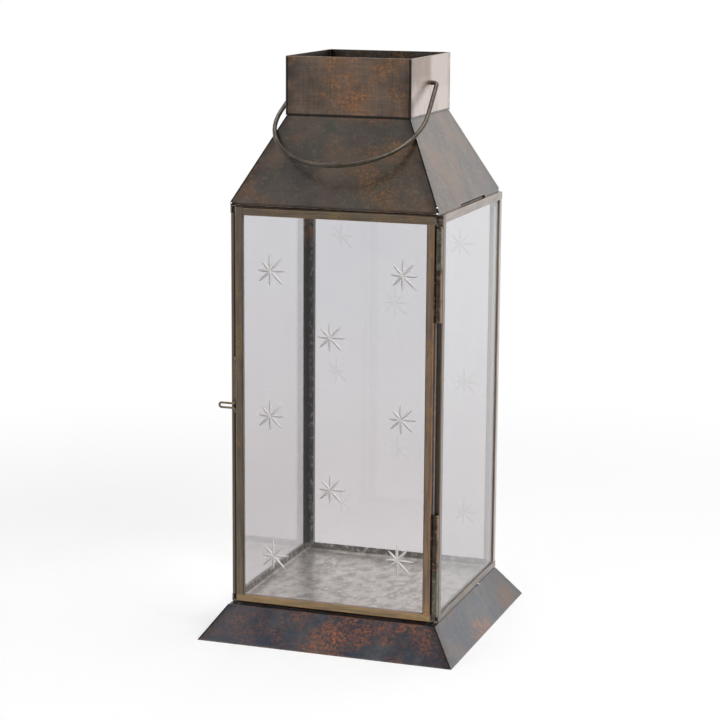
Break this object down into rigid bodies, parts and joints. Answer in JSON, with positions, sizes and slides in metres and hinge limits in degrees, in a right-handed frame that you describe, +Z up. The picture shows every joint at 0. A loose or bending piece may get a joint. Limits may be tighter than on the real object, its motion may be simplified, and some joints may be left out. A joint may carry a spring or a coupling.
{
  "type": "glass candle lantern",
  "caption": "Tall square lantern of soldered sheet metal and glass: flared skirt, hinged glazed door with a wire pull, tapered roof, open chimney and swinging wire bail.",
  "frame": {"origin": "middle of the base, on the ground", "axes": "+Z up, the door faces -Y, the hinges are on the +X side"},
  "size_m": [0.2064, 0.2064, 0.45],
  "materials": {
    "patinated_sheet": "dark bronze patina with copper mottling, satin",
    "door_came_brass": "aged brass, brushed, darkened at the edges",
    "frame_came_brass": "aged brass, dull",
    "hinge_brass": "aged brass tube, greenish",
    "brass_wire": "handled brass wire",
    "bail_wire": "dark brown iron wire, satin",
    "galvanised_steel": "galvanised, mottled",
    "cut_glass": "clear sheet glass with small cut stars"
  },
  "bodies": {
    "body": {"back_bottom_rail": "frame_came_brass", "back_left_stile": "frame_came_brass", "back_pane": "cut_glass", "back_right_stile": "frame_came_brass", "back_top_rail": "frame_came_brass", "chimney": "patinated_sheet", "door_stop_left": "galvanised_steel", "door_stop_right": "galvanised_steel", "floor_tray": "galvanised_steel", "front_header": "frame_came_brass", "hinge_lower_frame_knuckle": "hinge_brass", "hinge_lower_pin": "hinge_brass", "hinge_upper_frame_knuckle": "hinge_brass", "hinge_upper_pin": "hinge_brass", "left_side_bottom_rail": "frame_came_brass", "left_side_front_stile": "frame_came_brass", "left_side_pane": "cut_glass", "left_side_rear_stile": "frame_came_brass", "left_side_top_rail": "frame_came_brass", "rear_corner_angle_left": "galvanised_steel", "rear_corner_angle_right": "galvanised_steel", "right_side_bottom_rail": "frame_came_brass", "right_side_front_stile": "frame_came_brass", "right_side_pane": "cut_glass", "right_side_rear_stile": "frame_came_brass", "right_side_top_rail": "frame_came_brass", "roof_back": "patinated_sheet", "roof_front": "patinated_sheet", "roof_left": "patinated_sheet", "roof_right": "patinated_sheet", "roof_seat": "patinated_sheet", "skirt_back": "patinated_sheet", "skirt_front": "patinated_sheet", "skirt_left": "patinated_sheet", "skirt_right": "patinated_sheet"},
    "door": {"door_bottom_rail": "door_came_brass", "door_catch_stile": "door_came_brass", "door_catch_wire": "brass_wire", "door_hinge_stile": "door_came_brass", "door_pane": "cut_glass", "door_top_rail": "door_came_brass", "hinge_lower_door_knuckle": "hinge_brass", "hinge_upper_door_knuckle": "hinge_brass"},
    "bail": {"bail": "bail_wire"}
  },
  "joints": [
    {"name": "door_hinge", "type": "hinge", "parent": "body", "child": "door", "pos_m": [0.0823, -0.0795, 0.18], "axis": [0, 0, 1], "range_deg": [0, 180]},
    {"name": "bail_swing", "type": "hinge", "parent": "body", "child": "bail", "pos_m": [0, 0, 0.4294], "axis": [-1, 0, 0], "range_deg": [0, 243.2]}
  ]
}
